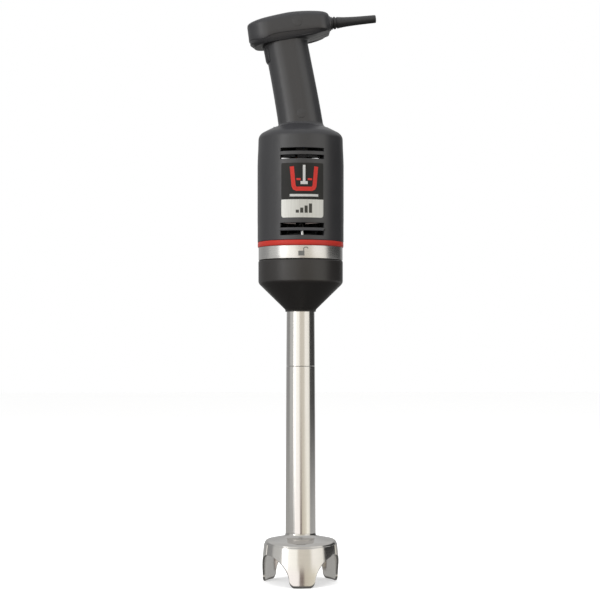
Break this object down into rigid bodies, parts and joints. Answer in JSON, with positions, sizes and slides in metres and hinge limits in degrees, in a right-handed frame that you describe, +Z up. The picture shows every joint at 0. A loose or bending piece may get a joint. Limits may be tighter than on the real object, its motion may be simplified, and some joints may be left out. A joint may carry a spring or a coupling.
{
  "type": "immersion blender",
  "caption": "Upright hand-held immersion blender: leaning grip with overhanging head, barrel motor casing, twist-lock steel tube and a three-lobed bell guard over the blade.",
  "frame": {"origin": "on the spindle axis, at the plane of the guard's three feet", "axes": "+Z up along the spindle; -Y is the front, with the label; the grip leans to -X and the cord sleeve points to +X"},
  "size_m": [0.133, 0.0889, 0.5845],
  "materials": {
    "polished_steel": "polished stainless steel",
    "brushed_steel": "fine brushed stainless steel",
    "machined_steel": "turned steel",
    "cast_aluminium": "die-cast aluminium",
    "core_iron": "stacked electrical steel laminations",
    "copper": "enamelled copper wire or copper bars",
    "bronze": "sintered bronze",
    "brass": "drawn brass",
    "carbon": "pressed carbon",
    "casing_grey": "satin dark grey moulded plastic",
    "collar_black": "matt warm black moulded plastic",
    "trigger_black": "satin black moulded plastic",
    "relief_black": "flexible moulded sleeve",
    "ring_red": "soft red elastomer",
    "label_black": "printed plastic label",
    "badge_silver": "silver printed badge",
    "seal_rubber": "nitrile rubber",
    "nylon_grey": "glass-filled nylon",
    "nylon_white": "natural nylon",
    "film_yellow": "film capacitor case",
    "board_green": "printed circuit board",
    "lead_insulation": "silicone wire insulation"
  },
  "bodies": {
    "motor_unit": {"lock_band": "brushed_steel", "bayonet_socket": "cast_aluminium", "trim_ring": "ring_red", "lower_bracket": "cast_aluminium", "lower_bearing_outer": "machined_steel", "casing_screws": "machined_steel", "stator_core": "core_iron", "field_coils": "copper", "motor_bolts": "machined_steel", "upper_bracket": "cast_aluminium", "upper_bearing_outer": "machined_steel", "brush_holders": "brass", "carbon_brushes": "carbon", "brush_springs": "machined_steel", "motor_casing": "casing_grey", "label_plate": "label_black", "rating_badge": "badge_silver", "handle_front_shell": "casing_grey", "handle_rear_shell": "casing_grey", "handle_screws": "machined_steel", "screw_plugs": "casing_grey", "strain_relief": "relief_black", "trigger_pin": "machined_steel", "switch_body": "trigger_black", "trigger_spring": "machined_steel", "terminal_block": "nylon_white", "terminal_screws": "brass", "suppression_capacitor": "film_yellow", "cord_clamp": "nylon_grey", "circuit_board": "board_green", "board_parts": "trigger_black", "small_screws": "machined_steel", "wiring": "lead_insulation"},
    "spindle": {"blade": "brushed_steel", "blade_screw": "brushed_steel", "arm_shaft": "machined_steel", "arm_bearing_inner": "machined_steel", "motor_shaft": "machined_steel", "rotor_core": "core_iron", "rotor_winding": "copper", "commutator": "copper", "cooling_fan": "nylon_grey", "drive_dog": "nylon_grey", "driven_dog": "machined_steel", "lower_bearing_inner": "machined_steel", "upper_bearing_inner": "machined_steel"},
    "arm": {"guard": "polished_steel", "shaft_bushes": "bronze", "shaft_seal": "seal_rubber", "seal_clip": "machined_steel", "lower_tube": "polished_steel", "upper_tube": "polished_steel", "arm_collar": "collar_black", "arm_hub": "cast_aluminium", "arm_bearing_outer": "machined_steel", "coupling_seal": "seal_rubber", "bayonet_ring": "brushed_steel", "ring_screws": "machined_steel"},
    "trigger": {"trigger": "trigger_black"},
    "switch_plunger": {"switch_plunger": "nylon_white"}
  },
  "joints": [
    {"name": "spindle_spin", "type": "hinge", "parent": "motor_unit", "child": "spindle", "pos_m": [0, 0, 0.3], "axis": [0, 0, 1], "continuous": true},
    {"name": "arm_twist", "type": "hinge", "parent": "motor_unit", "child": "arm", "pos_m": [0, 0, 0.335], "axis": [0, 0, 1], "range_deg": [0, 40]},
    {"name": "trigger_press", "type": "hinge", "parent": "motor_unit", "child": "trigger", "pos_m": [-0.03328, 0, 0.55546], "axis": [0, -1, 0], "range_deg": [0, 6], "stiffness_Nm_per_rad": 0.015, "springref_deg": -114.59, "deforming": ["trigger_spring"]},
    {"name": "switch_press", "type": "slide", "parent": "motor_unit", "child": "switch_plunger", "axis": [0.9833, 0, 0.1822], "range_m": [0, 0.0012]}
  ],
  "couplings": [
    {"joint": "switch_press", "follows": "trigger_press", "m_per_rad": 0.0106}
  ]
}
